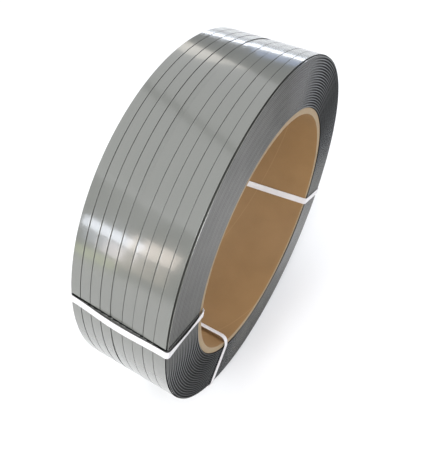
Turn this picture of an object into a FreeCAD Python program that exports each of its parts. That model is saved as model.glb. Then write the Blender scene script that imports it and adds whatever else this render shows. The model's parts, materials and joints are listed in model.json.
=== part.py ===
"""Roll of polyester strapping: one wound coil on a paper core, held by three tie bands.

Frame: the origin is the centre of the core's bore. The roll's axis is Y and +Z is up, so the
roll stands on its rim. -Y is the near end, where the outer layer's lanes start. Every length is
in millimetres and every angle in degrees.

Each piece is drawn as a section through the axis, with x as the distance from the axis and y
along it. The coil and the core are turned about the axis, and a tie band is a closed loop
round that same section.
"""
import FreeCAD, Part
import os
from math import radians

import Sketcher

Vector = FreeCAD.Vector

# Driving dimensions: alias, value, meaning.
DRIVING = [
    ("core_bore_radius", 203.2, "bore of a 16 inch paper core"),
    ("core_wall", 10.0, "wall of the paper core"),
    ("core_recess", 2.0, "core end set back from the coil end, each side"),
    ("strap_width", 16.0, "width of the strap, and of one lane"),
    ("layer_pitch", 0.96, "thickness of the 0.9 strap and the slack over it"),
    ("layers_per_ridge", 4, "layers that the winding lays before its edge steps"),
    ("ridge_count", 20, "ridges seen on each end of the coil"),
    ("notch_width", 1.5, "mouth of the notch between two ridges"),
    ("notch_depth", 1.1, "depth of the notch between two ridges"),
    ("near_lanes", 5, "lanes of the outer layer on the near side of the open gap"),
    ("far_lanes", 4, "lanes of the outer layer on the far side of the open gap"),
    ("lane_gap", 0.25, "gap between two lanes laid side by side"),
    ("open_gap", 5.0, "open gap where the winding skipped across"),
    ("edge_setback", 3.25, "outer layer's first lane set in from the near end"),
    ("tie_width", 12.0, "width of a tie band"),
    ("tie_thickness", 0.6, "thickness of a tie band"),
    ("tie_bore_gap", 0.3, "tie band off the wall of the bore"),
    ("tie_stand_off", 1.2, "tie band off the rim and off both ends of the coil"),
    ("tie_corner_gap", 0.37, "tie band's bend off the corner of the coil"),
    ("tie_weld_length", 30.0, "lap where the two ends of a tie band are welded"),
    ("front_tie_angle", 168.0, "place round the roll, from +X towards +Z"),
    ("low_tie_angle", 230.5, "place round the roll, from +X towards +Z"),
    ("rear_tie_angle", 334.5, "place round the roll, from +X towards +Z"),
]

# What follows from the driving dimensions, as expressions on the sheet.
CORE_RADIUS = "(sizes.core_bore_radius + sizes.core_wall)"
RIDGE_PITCH = "(sizes.layers_per_ridge * sizes.layer_pitch)"
COIL_RADIUS = f"({CORE_RADIUS} + sizes.ridge_count * {RIDGE_PITCH})"
LANE_PITCH = "(sizes.strap_width + sizes.lane_gap)"
NEAR_GROUP = f"(sizes.near_lanes * {LANE_PITCH} - sizes.lane_gap)"
FAR_GROUP = f"(sizes.far_lanes * {LANE_PITCH} - sizes.lane_gap)"
COIL_WIDTH = f"(sizes.edge_setback + {NEAR_GROUP} + sizes.open_gap + {FAR_GROUP})"
NEAR_END = f"(-{COIL_WIDTH} / 2)"
FAR_END = f"({COIL_WIDTH} / 2)"
NEAR_GROUP_START = f"({NEAR_END} + sizes.edge_setback)"
OPEN_GAP_START = f"({NEAR_GROUP_START} + {NEAR_GROUP})"
FAR_GROUP_START = f"({OPEN_GAP_START} + sizes.open_gap)"
LAYER_FLOOR = f"({COIL_RADIUS} - sizes.layer_pitch)"
CORE_HALF_LENGTH = f"({COIL_WIDTH} / 2 - sizes.core_recess)"
TIE_INNER_RADIUS = "(sizes.core_bore_radius - sizes.tie_bore_gap)"
TIE_OUTER_RADIUS = f"({COIL_RADIUS} + sizes.tie_stand_off)"
TIE_HALF_SPAN = f"({COIL_WIDTH} / 2 + sizes.tie_stand_off)"
# The bend whose arc passes tie_corner_gap outside the coil's square corner.
TIE_BEND = "((sqrt(2) * sizes.tie_stand_off - sizes.tie_corner_gap) / (sqrt(2) - 1))"


def make_sheet(doc):
    """Spreadsheet of the driving dimensions, one alias to a row."""
    sheet = doc.addObject("Spreadsheet::Sheet", "sizes")
    for row, (alias, size, meaning) in enumerate(DRIVING, start=1):
        sheet.set(f"A{row}", alias)
        sheet.set(f"B{row}", str(size))
        sheet.setAlias(f"B{row}", alias)
        sheet.set(f"C{row}", meaning)
    doc.recompute()
    return sheet


def make_body(label):
    """Empty body for one piece of the roll."""
    body = doc.addObject("PartDesign::Body", label)
    body.Label = label
    return body


def origin_plane(body, role):
    """Plane of the body's own origin."""
    return next(plane for plane in body.Origin.OriginFeatures if plane.Role == role)


def section_sketch(body, name):
    """Sketch in the plane through the axis: x is the radius and y runs along the axis."""
    sketch = body.newObject("Sketcher::SketchObject", name)
    sketch.AttachmentSupport = [(origin_plane(body, "XY_Plane"), "")]
    sketch.MapMode = "FlatFace"
    return sketch


def size_now(expression):
    """Number that an expression on the sheet gives now."""
    return float(sheet.evalExpression(expression))


def dimension(sketch, kind, elements, expression):
    """Dimension of a sketch, bound to an expression on the sheet."""
    index = sketch.addConstraint(Sketcher.Constraint(kind, *elements, size_now(expression)))
    sketch.setExpression(f"Constraints[{index}]", expression)


def place_point(sketch, line, end, x, y):
    """Dimensions from the sketch's origin to one end of a line; None leaves that one out."""
    if x is not None:
        dimension(sketch, "DistanceX", (-1, 1, line, end), x)
    if y is not None:
        dimension(sketch, "DistanceY", (-1, 1, line, end), y)


def add_loop(sketch, corners):
    """Closed loop of lines through corners given as pairs of expressions."""
    points = [Vector(size_now(x), size_now(y), 0) for x, y in corners]
    lines = [
        sketch.addGeometry(Part.LineSegment(start, end))
        for start, end in zip(points, points[1:] + points[:1])
    ]
    for line, following in zip(lines, lines[1:] + lines[:1]):
        sketch.addConstraint(Sketcher.Constraint("Coincident", line, 2, following, 1))
    return lines


def add_rectangle(sketch, radii, ends):
    """Rectangle between two radii and between two places along the axis."""
    (low_x, high_x), (low_y, high_y) = radii, ends
    corners = [(low_x, low_y), (high_x, low_y), (high_x, high_y), (low_x, high_y)]
    bottom, right, top, left = add_loop(sketch, corners)
    for line in (bottom, top):
        sketch.addConstraint(Sketcher.Constraint("Horizontal", line))
    for line in (right, left):
        sketch.addConstraint(Sketcher.Constraint("Vertical", line))
    place_point(sketch, bottom, 1, low_x, low_y)
    place_point(sketch, top, 1, high_x, high_y)


def add_notch(sketch, radius):
    """V notch in the coil's near end, centred on a radius."""
    inner = f"({radius} - sizes.notch_width / 2)"
    outer = f"({radius} + sizes.notch_width / 2)"
    floor = f"({NEAR_END} + sizes.notch_depth)"
    corners = [(inner, NEAR_END), (outer, NEAR_END), (radius, floor)]
    mouth, outer_side, inner_side = add_loop(sketch, corners)
    place_point(sketch, mouth, 1, inner, NEAR_END)
    place_point(sketch, outer_side, 1, outer, NEAR_END)
    place_point(sketch, inner_side, 1, radius, floor)


def add_rounded_rectangle(sketch, radii, half_span, bend):
    """Rectangle about the x axis whose four corners are bent to one radius."""
    low_x, high_x = (size_now(radius) for radius in radii)
    half_y = size_now(half_span)
    turn = size_now(bend)
    # Corner centres in the order in which the loop runs, and the angle where each arc starts.
    centres = [
        (high_x - turn, -half_y + turn, 270),
        (high_x - turn, half_y - turn, 0),
        (low_x + turn, half_y - turn, 90),
        (low_x + turn, -half_y + turn, 180),
    ]
    arcs = []
    for x, y, start in centres:
        circle = Part.Circle(Vector(x, y, 0), Vector(0, 0, 1), turn)
        arc = Part.ArcOfCircle(circle, radians(start), radians(start + 90))
        arcs.append(sketch.addGeometry(arc))
    lines = []
    for arc, following in zip(arcs, arcs[1:] + arcs[:1]):
        run = Part.LineSegment(sketch.getPoint(arc, 2), sketch.getPoint(following, 1))
        line = sketch.addGeometry(run)
        sketch.addConstraint(Sketcher.Constraint("Tangent", arc, 2, line, 1))
        sketch.addConstraint(Sketcher.Constraint("Tangent", line, 2, following, 1))
        lines.append(line)
    for arc in arcs[1:]:
        sketch.addConstraint(Sketcher.Constraint("Equal", arcs[0], arc))
    dimension(sketch, "Radius", (arcs[0],), bend)
    rim_run, far_run, bore_run, near_run = lines
    sketch.addConstraint(Sketcher.Constraint("Vertical", rim_run))
    sketch.addConstraint(Sketcher.Constraint("Horizontal", far_run))
    sketch.addConstraint(Sketcher.Constraint("Vertical", bore_run))
    sketch.addConstraint(Sketcher.Constraint("Horizontal", near_run))
    place_point(sketch, rim_run, 1, radii[1], None)
    place_point(sketch, bore_run, 1, radii[0], None)
    place_point(sketch, far_run, 1, None, half_span)
    place_point(sketch, near_run, 1, None, f"(-{half_span})")


def turn_section(body, sketch, kind, name):
    """Revolution or Groove that turns a section all the way round the axis."""
    feature = body.newObject(f"PartDesign::{kind}", name)
    feature.Profile = sketch
    feature.ReferenceAxis = (sketch, ["V_Axis"])
    feature.Angle = 360
    doc.recompute()
    return feature


def cut_outer_layer(body, name, starts_and_ends):
    """Groove as deep as one layer between places along the axis."""
    sketch = section_sketch(body, f"{name}_section")
    for ends in starts_and_ends:
        add_rectangle(sketch, (LAYER_FLOOR, COIL_RADIUS), ends)
    return turn_section(body, sketch, "Groove", name)


def repeat_along_axis(body, groove, name, count):
    """The groove repeated towards the far end, one lane pitch at a time."""
    pattern = body.newObject("PartDesign::LinearPattern", name)
    pattern.Originals = [groove]
    pattern.Direction = (groove.Profile[0], ["V_Axis"])
    pattern.Mode = "Spacing"
    pattern.setExpression("Offset", LANE_PITCH)
    pattern.setExpression("Occurrences", count)
    body.Tip = pattern
    doc.recompute()
    return pattern


def make_strap_coil():
    """Wound coil as one turned solid, with its outer layer's lanes and the ridges of its ends."""
    body = make_body("strap_coil")
    section = section_sketch(body, "coil_section")
    add_rectangle(section, (CORE_RADIUS, COIL_RADIUS), (NEAR_END, FAR_END))
    turn_section(body, section, "Revolution", "wound_coil")

    cut_outer_layer(body, "open_gaps", [
        (NEAR_END, NEAR_GROUP_START),
        (OPEN_GAP_START, FAR_GROUP_START),
    ])
    groups = [("near", NEAR_GROUP_START, "sizes.near_lanes"), ("far", FAR_GROUP_START, "sizes.far_lanes")]
    for group, start, lanes in groups:
        first = f"({start} + sizes.strap_width)"
        ends = (first, f"({first} + sizes.lane_gap)")
        groove = cut_outer_layer(body, f"{group}_lane_gap", [ends])
        repeat_along_axis(body, groove, f"{group}_lane_gaps", f"{lanes} - 1")

    notches = section_sketch(body, "ridge_notches")
    for ridge in range(1, int(sheet.ridge_count)):
        add_notch(notches, f"({CORE_RADIUS} + {ridge} * {RIDGE_PITCH})")
    near_ridges = turn_section(body, notches, "Groove", "near_end_ridges")
    both_ends = body.newObject("PartDesign::Mirrored", "both_end_ridges")
    both_ends.Originals = [near_ridges]
    both_ends.MirrorPlane = (origin_plane(body, "XZ_Plane"), [""])
    body.Tip = both_ends
    return body


def make_core_tube():
    """Paper core as a plain tube, a little shorter than the coil."""
    body = make_body("core_tube")
    section = section_sketch(body, "core_section")
    ends = (f"(-{CORE_HALF_LENGTH})", CORE_HALF_LENGTH)
    add_rectangle(section, ("sizes.core_bore_radius", CORE_RADIUS), ends)
    turn_section(body, section, "Revolution", "core_wall_turned")
    return body


def pad_across(body, sketch, name):
    """Pad as wide as a tie band, half to each side of the sketch."""
    pad = body.newObject("PartDesign::Pad", name)
    pad.Profile = sketch
    pad.SideType = "Symmetric"
    pad.setExpression("Length", "sizes.tie_width")
    doc.recompute()
    return pad


def make_tie_band(label, angle):
    """Tie band: a closed loop through the bore and over the rim, with its welded lap.

    The lap is on the far end, halfway between the bore and the rim.
    """
    body = make_body(label)
    loop = section_sketch(body, f"{label}_loop")
    add_rounded_rectangle(loop, (TIE_INNER_RADIUS, TIE_OUTER_RADIUS), TIE_HALF_SPAN, TIE_BEND)
    outside = [
        f"({TIE_INNER_RADIUS} - sizes.tie_thickness)",
        f"({TIE_OUTER_RADIUS} + sizes.tie_thickness)",
    ]
    outside_span = f"({TIE_HALF_SPAN} + sizes.tie_thickness)"
    add_rounded_rectangle(loop, outside, outside_span, f"({TIE_BEND} + sizes.tie_thickness)")
    pad_across(body, loop, f"{label}_band")

    lap = section_sketch(body, f"{label}_lap")
    middle = f"(({TIE_INNER_RADIUS} + {TIE_OUTER_RADIUS}) / 2)"
    lap_radii = (f"({middle} - sizes.tie_weld_length / 2)", f"({middle} + sizes.tie_weld_length / 2)")
    add_rectangle(lap, lap_radii, (outside_span, f"({outside_span} + sizes.tie_thickness)"))
    pad_across(body, lap, f"{label}_weld")

    # Turning about +Y carries +X towards -Z, so the angle towards +Z is negative.
    body.setExpression("Placement.Rotation.Angle", f"-sizes.{angle}")
    body.Placement.Rotation.Axis = Vector(0, 1, 0)
    return body


def check(bodies):
    """Stop if a feature failed, or a piece is not one whole valid solid."""
    for item in doc.Objects:
        if {"Invalid", "Error"} & set(item.State):
            raise RuntimeError(f"{item.Name} failed: {item.State}")
    for body in bodies:
        shape = body.Shape
        if shape.isNull() or not shape.isValid() or len(shape.Solids) != 1:
            raise RuntimeError(f"{body.Label} is not one valid solid")


doc = FreeCAD.newDocument("strapping_roll")
sheet = make_sheet(doc)
pieces = [
    make_strap_coil(),
    make_core_tube(),
    make_tie_band("tie_band_front", "front_tie_angle"),
    make_tie_band("tie_band_low", "low_tie_angle"),
    make_tie_band("tie_band_rear", "rear_tie_angle"),
]
doc.recompute()
check(pieces)

os.makedirs("parts", exist_ok=True)
for piece in pieces:
    box = piece.Shape.BoundBox
    print(f"{piece.Label}: volume {piece.Shape.Volume:.0f} mm3, "
          f"x {box.XMin:.2f}..{box.XMax:.2f}, y {box.YMin:.2f}..{box.YMax:.2f}, "
          f"z {box.ZMin:.2f}..{box.ZMax:.2f}")
    piece.Shape.exportStep(f"parts/{piece.Label}.step")
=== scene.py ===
"""Looks of a polyester strapping roll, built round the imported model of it.

The roll stands on its rim. Its axis is Y, its near end faces -Y and +Z is up. Every place is
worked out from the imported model's own boxes, in metres, and sizes that belong to a finish or to
a piece are fields of its class, in millimetres where the name ends in _mm.

Pieces: the wound coil with its ridged ends, the outer layer's lanes of strap, the paper core
and three tie bands.
"""
import json
import logging
import math
from dataclasses import dataclass
from enum import Enum

import bpy
import numpy as np
from mathutils import Matrix, Quaternion, Vector

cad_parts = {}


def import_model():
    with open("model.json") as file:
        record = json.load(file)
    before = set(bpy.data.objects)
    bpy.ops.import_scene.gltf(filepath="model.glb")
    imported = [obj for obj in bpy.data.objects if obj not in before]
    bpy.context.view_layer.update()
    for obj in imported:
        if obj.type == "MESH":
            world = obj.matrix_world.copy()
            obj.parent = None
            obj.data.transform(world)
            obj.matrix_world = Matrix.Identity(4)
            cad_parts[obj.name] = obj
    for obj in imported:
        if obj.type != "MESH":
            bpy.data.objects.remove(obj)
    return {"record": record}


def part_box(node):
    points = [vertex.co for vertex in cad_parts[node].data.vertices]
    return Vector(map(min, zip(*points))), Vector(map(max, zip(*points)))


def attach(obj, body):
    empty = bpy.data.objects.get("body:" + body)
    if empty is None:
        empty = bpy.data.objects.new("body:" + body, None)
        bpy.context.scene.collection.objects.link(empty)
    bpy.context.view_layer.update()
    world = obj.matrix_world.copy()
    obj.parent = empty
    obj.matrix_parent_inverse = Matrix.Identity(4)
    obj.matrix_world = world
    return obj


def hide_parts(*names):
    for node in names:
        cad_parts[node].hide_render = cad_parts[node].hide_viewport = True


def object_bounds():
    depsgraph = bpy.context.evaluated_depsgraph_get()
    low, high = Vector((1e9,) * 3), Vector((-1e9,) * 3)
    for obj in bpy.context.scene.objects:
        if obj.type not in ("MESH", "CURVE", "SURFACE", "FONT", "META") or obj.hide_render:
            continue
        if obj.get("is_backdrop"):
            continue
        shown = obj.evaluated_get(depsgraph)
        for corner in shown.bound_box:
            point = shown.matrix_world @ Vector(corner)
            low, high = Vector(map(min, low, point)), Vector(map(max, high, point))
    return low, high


LOG = logging.getLogger("strapping_roll")
MM = 0.001
FULL_TURN = 2.0 * math.pi


class Slot(Enum):
    """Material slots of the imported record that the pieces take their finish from."""

    STRAP = "strap"
    CORE_BOARD = "core_board"
    TIE_BAND = "tie_band"


# ---------------------------------------------------------------- helpers


def linear(hex_colour: str) -> tuple[float, float, float, float]:
    """Turn an sRGB hex colour to linear light.

    Args:
        hex_colour: Colour as "#rrggbb".

    Returns:
        Red, green, blue and alpha, the last always 1.
    """
    shares = [int(hex_colour[i:i + 2], 16) / 255.0 for i in (1, 3, 5)]
    values = [s / 12.92 if s <= 0.04045 else ((s + 0.055) / 1.055) ** 2.4 for s in shares]
    return (values[0], values[1], values[2], 1.0)


def add_node(
    tree: bpy.types.NodeTree, kind: str, inputs: dict | None = None, **settings: object
) -> bpy.types.Node:
    """Add one node with its settings, values and links.

    Args:
        tree: Node tree that takes the node.
        kind: Node type, such as "ShaderNodeMath".
        inputs: Socket name or index to a value, or to the output socket that feeds it.
        **settings: Attributes of the node itself.

    Returns:
        The new node.
    """
    node = tree.nodes.new(kind)
    for name, value in settings.items():
        setattr(node, name, value)
    for socket, value in (inputs or {}).items():
        if isinstance(value, bpy.types.NodeSocket):
            tree.links.new(value, node.inputs[socket])
        else:
            node.inputs[socket].default_value = value
    return node


def new_material(name: str) -> tuple[bpy.types.Material, bpy.types.NodeTree, bpy.types.Node]:
    """Make a material whose tree holds only an output.

    Args:
        name: The material's name.

    Returns:
        The material, its node tree and the output node.
    """
    material = bpy.data.materials.new(name)
    material.use_nodes = True
    tree = material.node_tree
    tree.nodes.clear()
    return material, tree, tree.nodes.new("ShaderNodeOutputMaterial")


def smooth_step(values: np.ndarray) -> np.ndarray:
    """Ease from 0 to 1: 3 t squared less 2 t cubed, with t held between 0 and 1."""
    share = np.clip(values, 0.0, 1.0)
    return share * share * (3.0 - 2.0 * share)


def ring_points(radii: np.ndarray, places: np.ndarray, angles: np.ndarray) -> np.ndarray:
    """Turn places given round the roll's axis into points.

    Formula: x is the radius times the angle's cosine, z is the radius times its sine and y is
    the place along the axis. The three arrays are broadcast together.

    Args:
        radii: Distances from the axis.
        places: Places along the axis.
        angles: Angles from +X towards +Z, in radians.

    Returns:
        Array of points, one more axis than the inputs.
    """
    radii, places, angles = np.broadcast_arrays(radii, places, angles)
    return np.stack([radii * np.cos(angles), places, radii * np.sin(angles)], axis=-1)


def round_distances(points: np.ndarray) -> np.ndarray:
    """Distance along a closed row of points, from 0 to the whole way round."""
    steps = np.linalg.norm(np.roll(points, -1, axis=0) - points, axis=-1)
    return np.concatenate([[0.0], np.cumsum(steps)])


def wrapped_grid(points: np.ndarray) -> tuple[np.ndarray, np.ndarray, np.ndarray]:
    """Faces and UVs of a grid that joins up both ways, so that the surface is closed.

    Formula: face (i, j) has the corners (i, j), (i + 1, j), (i + 1, j + 1) and (i, j + 1), each
    index counted round. A grid whose faces point inwards has a negative volume, the sum of
    a . (b x c) over its faces, and is read the other way across. U is the distance along the
    first row and V the distance across it, in metres.

    Args:
        points: Array of rows by columns by 3.

    Returns:
        Points as a list, corners of each face, and UV of each corner.
    """
    rows, columns = points.shape[:2]
    along, across = np.meshgrid(np.arange(rows), np.arange(columns), indexing="ij")
    corners_along = np.stack([along, along + 1, along + 1, along], axis=-1).reshape(-1, 4)
    corners_across = np.stack([across, across, across + 1, across + 1], axis=-1).reshape(-1, 4)
    faces = (corners_along % rows) * columns + corners_across % columns
    flat = points.reshape(-1, 3)
    a, b, c, d = (flat[faces[:, k]] for k in range(4))
    volume = np.einsum("ij,ij->", a, np.cross(b, c)) + np.einsum("ij,ij->", a, np.cross(c, d))
    if volume < 0.0:
        faces, corners_along, corners_across = (
            item[:, ::-1] for item in (faces, corners_along, corners_across)
        )
    u_at = round_distances(points[:, 0])
    v_at = round_distances(points[0])
    uvs = np.stack([u_at[corners_along], v_at[corners_across]], axis=-1)
    return flat, faces, uvs


def make_piece(
    name: str,
    grids: list[np.ndarray],
    materials: list[bpy.types.Material],
    nodes: tuple[str, ...],
    sharp_deg: float,
    face_materials: np.ndarray | None = None,
) -> bpy.types.Object:
    """Build one piece from closed grids and hand it to the frame.

    Args:
        name: The piece's name.
        grids: Closed grids of points, each one rows by columns by 3.
        materials: The piece's finishes.
        nodes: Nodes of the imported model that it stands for.
        sharp_deg: Edges that turn by more than this stay crisp.
        face_materials: Number of each face's finish, in the order of the grids.

    Returns:
        The new object, at the origin, with its place in its mesh.
    """
    parts = [wrapped_grid(points) for points in grids]
    starts = np.cumsum([0] + [len(part[0]) for part in parts[:-1]])
    points = np.concatenate([part[0] for part in parts])
    faces = np.concatenate([part[1] + start for part, start in zip(parts, starts)])
    uvs = np.concatenate([part[2] for part in parts])

    mesh = bpy.data.meshes.new(name)
    mesh.vertices.add(len(points))
    mesh.vertices.foreach_set("co", points.astype(np.float32).ravel())
    mesh.loops.add(faces.size)
    mesh.loops.foreach_set("vertex_index", faces.astype(np.int32).ravel())
    mesh.polygons.add(len(faces))
    mesh.polygons.foreach_set("loop_start", np.arange(0, faces.size, 4, dtype=np.int32))
    for material in materials:
        mesh.materials.append(material)
    if face_materials is not None:
        mesh.polygons.foreach_set("material_index", face_materials.astype(np.int32))
    layer = mesh.uv_layers.new(name="surface")
    layer.uv.foreach_set("vector", uvs.astype(np.float32).ravel())
    mesh.update(calc_edges=True)
    mesh.shade_smooth()
    mesh.set_sharp_from_angle(angle=math.radians(sharp_deg))
    mesh.validate()

    piece = bpy.data.objects.new(name, mesh)
    bpy.context.scene.collection.objects.link(piece)
    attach(piece, "root")
    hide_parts(*nodes)
    LOG.info("%s: %d faces", name, len(faces))
    return piece


# ---------------------------------------------------------------- sizes from the frame


@dataclass(frozen=True)
class RollSizes:
    """Sizes of the roll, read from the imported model, in metres."""

    bore_radius: float
    core_radius: float
    core_half_length: float
    coil_radius: float
    coil_half_width: float

    @classmethod
    def from_frame(cls, record: dict) -> "RollSizes":
        """Read the sizes from the node boxes and from the bore mount.

        Args:
            record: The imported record.

        Returns:
            The sizes.
        """
        bore = next(mount for mount in record["mounts"] if mount["name"] == "bore")
        core_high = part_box("core_tube")[1]
        coil_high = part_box("strap_coil")[1]
        return cls(bore["dims"]["r_mm"] * MM, core_high.x, core_high.y, coil_high.x, coil_high.y)


# ---------------------------------------------------------------- finishes


@dataclass(frozen=True)
class StrapFinish:
    """Extruded polyester (PET) strap: smooth, glossy grey plastic.

    The die leaves fine lines along the strap, so its reflections are crisp along the lanes and
    drawn out across them. Gives the eye a grey body under a clear sheen.
    """

    name: str = "extruded_pet_strap"
    light_hex: str = "#747570"
    dark_hex: str = "#6a6b66"
    ior: float = 1.575
    roughness: float = 0.16
    anisotropy: float = 0.45
    # Real die lines are about 0.05 mm apart. They are drawn at 0.6 mm, or they would not show.
    die_line_mm: float = 0.6
    die_line_length_mm: float = 180.0
    patch_mm: float = 60.0
    bump_mm: float = 0.0025

    def build(self) -> bpy.types.Material:
        """Build the material.

        Returns:
            The strap's material.
        """
        material, tree, output = new_material(self.name)
        surface = add_node(tree, "ShaderNodeUVMap", uv_map="surface")
        # UV is in metres: a noise scale of 1 / size gives cells of that size.
        line_scale = (1.0 / (self.die_line_length_mm * MM), 1.0 / (self.die_line_mm * MM), 1.0)
        lines_at = add_node(tree, "ShaderNodeMapping", {
            "Vector": surface.outputs["UV"], "Scale": line_scale})
        lines = add_node(tree, "ShaderNodeTexNoise", {
            "Vector": lines_at.outputs["Vector"], "Scale": 1.0, "Detail": 3.0})
        patch_scale = (0.25 / (self.patch_mm * MM), 1.0 / (self.patch_mm * MM), 1.0)
        patches_at = add_node(tree, "ShaderNodeMapping", {
            "Vector": surface.outputs["UV"], "Scale": patch_scale})
        patches = add_node(tree, "ShaderNodeTexNoise", {
            "Vector": patches_at.outputs["Vector"], "Scale": 1.0, "Detail": 2.0})
        colour = add_node(tree, "ShaderNodeMix", {
            "Factor": patches.outputs["Fac"],
            "A": linear(self.light_hex), "B": linear(self.dark_hex)},
            data_type="RGBA")
        gloss = add_node(tree, "ShaderNodeMapRange", {
            "Value": lines.outputs["Fac"],
            "To Min": self.roughness * 0.9, "To Max": self.roughness * 1.1})
        relief = add_node(tree, "ShaderNodeBump", {
            "Height": lines.outputs["Fac"], "Strength": 0.15, "Distance": self.bump_mm * MM})
        along = add_node(tree, "ShaderNodeTangent", direction_type="RADIAL", axis="Y")
        shader = add_node(tree, "ShaderNodeBsdfPrincipled", {
            "Base Color": colour.outputs["Result"],
            "Roughness": gloss.outputs["Result"],
            "IOR": self.ior,
            "Anisotropic": self.anisotropy,
            "Tangent": along.outputs["Tangent"],
            "Normal": relief.outputs["Normal"],
            "Coat Weight": 0.35,
            "Coat Roughness": 0.06})
        tree.links.new(shader.outputs["BSDF"], output.inputs["Surface"])
        return material


@dataclass(frozen=True)
class StrapEdgeFinish:
    """Edges of the wound polyester strap, seen on the coil's ends.

    Hundreds of thin edges with dark slits between them; the slits' dark is painted shade. Two arcs
    round the roll take painted shade in the notches between ridges and a painted highlight on the
    crests. Gives the eye a near black, satin face with faint rings, one to a layer.
    """

    name: str = "wound_pet_strap_edges"
    edge_hex: str = "#595953"
    slit_shade_hex: str = "#2e2e2b"
    arc_shade_hex: str = "#070808"
    crest_highlight_hex: str = "#9a9ea0"
    ior: float = 1.575
    roughness: float = 0.42
    anisotropy: float = 0.8
    layer_mm: float = 0.96
    ridge_mm: float = 3.792
    bump_mm: float = 0.12
    core_radius_mm: float = 213.2
    # Middle of the two arcs of painted shade in the notches and painted highlight on the crests.
    shade_arc_deg: float = 30.0

    def build(self) -> bpy.types.Material:
        """Build the material.

        Returns:
            The edges' material.
        """
        material, tree, output = new_material(self.name)
        place = add_node(tree, "ShaderNodeTexCoord")
        flat = add_node(tree, "ShaderNodeVectorMath", {
            0: place.outputs["Object"], 1: (1.0, 0.0, 1.0)}, operation="MULTIPLY")
        radius = add_node(tree, "ShaderNodeVectorMath", {0: flat.outputs["Vector"]},
                          operation="LENGTH")
        # Layer number at this radius, then its distance from the layer's middle line, 0 to 0.5.
        layers = add_node(tree, "ShaderNodeMath", {
            0: radius.outputs["Value"], 1: 1.0 / (self.layer_mm * MM),
            2: -self.core_radius_mm / self.layer_mm}, operation="MULTIPLY_ADD")
        share = add_node(tree, "ShaderNodeMath", {0: layers.outputs["Value"], 1: 1.0},
                         operation="PINGPONG")
        wander = add_node(tree, "ShaderNodeTexNoise", {
            "Vector": place.outputs["Object"], "Scale": 28.0, "Detail": 3.0})
        edge = add_node(tree, "ShaderNodeMapRange", {
            "Value": share.outputs["Value"], "From Min": 0.0, "From Max": 0.45})
        mixed = add_node(tree, "ShaderNodeMath", {
            0: edge.outputs["Result"], 1: wander.outputs["Fac"]}, operation="MULTIPLY")
        # Painted shade in the slits between layers: the slit colour near each layer line, its
        # share raised at random by the noise.
        ringed_with_slit_shade = add_node(tree, "ShaderNodeMix", {
            "Factor": mixed.outputs["Value"],
            "A": linear(self.slit_shade_hex), "B": linear(self.edge_hex)}, data_type="RGBA")
        # Arcs of painted shade and highlight: cosine of twice the angle round the roll from the
        # arcs' middle.
        axes = add_node(tree, "ShaderNodeSeparateXYZ", {"Vector": place.outputs["Object"]})
        turn = add_node(tree, "ShaderNodeMath", {
            0: axes.outputs["Z"], 1: axes.outputs["X"]}, operation="ARCTAN2")
        twice = add_node(tree, "ShaderNodeMath", {
            0: turn.outputs["Value"], 1: 2.0, 2: -2.0 * math.radians(self.shade_arc_deg)},
            operation="MULTIPLY_ADD")
        wave = add_node(tree, "ShaderNodeMath", {0: twice.outputs["Value"]}, operation="COSINE")
        shade_arcs = add_node(tree, "ShaderNodeMapRange", {
            "Value": wave.outputs["Value"], "From Min": -0.1, "From Max": 0.7},
            interpolation_type="SMOOTHSTEP")
        # Ridges: 0 in the notch between two of them and 0.5 on the crest.
        ridges = add_node(tree, "ShaderNodeMath", {
            0: radius.outputs["Value"], 1: 1.0 / (self.ridge_mm * MM),
            2: -self.core_radius_mm / self.ridge_mm}, operation="MULTIPLY_ADD")
        ridge = add_node(tree, "ShaderNodeMath", {0: ridges.outputs["Value"], 1: 0.5},
                         operation="PINGPONG")
        crest = add_node(tree, "ShaderNodeMapRange", {
            "Value": ridge.outputs["Value"], "From Min": 0.3, "From Max": 0.49},
            interpolation_type="SMOOTHSTEP")
        # Painted highlight on the crests and painted shade in the notches, shown in the shaded
        # arcs; the highlight is strongest at the arcs' edges and faint at their middle.
        squared = add_node(tree, "ShaderNodeMath", {
            0: wave.outputs["Value"], 1: wave.outputs["Value"]}, operation="MULTIPLY")
        crest_highlight_share = add_node(tree, "ShaderNodeMath", {
            0: squared.outputs["Value"], 1: -0.8, 2: 1.0}, operation="MULTIPLY_ADD")
        crest_highlight = add_node(tree, "ShaderNodeMath", {
            0: crest.outputs["Result"], 1: crest_highlight_share.outputs["Value"]}, operation="MULTIPLY")
        shade_and_highlight = add_node(tree, "ShaderNodeMix", {
            "Factor": crest_highlight.outputs["Value"],
            "A": linear(self.arc_shade_hex), "B": linear(self.crest_highlight_hex)}, data_type="RGBA")
        shaded = add_node(tree, "ShaderNodeMath", {0: shade_arcs.outputs["Result"], 1: 0.97},
                          operation="MULTIPLY")
        colour = add_node(tree, "ShaderNodeMix", {
            "Factor": shaded.outputs["Value"],
            "A": ringed_with_slit_shade.outputs["Result"], "B": shade_and_highlight.outputs["Result"]}, data_type="RGBA")
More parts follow.
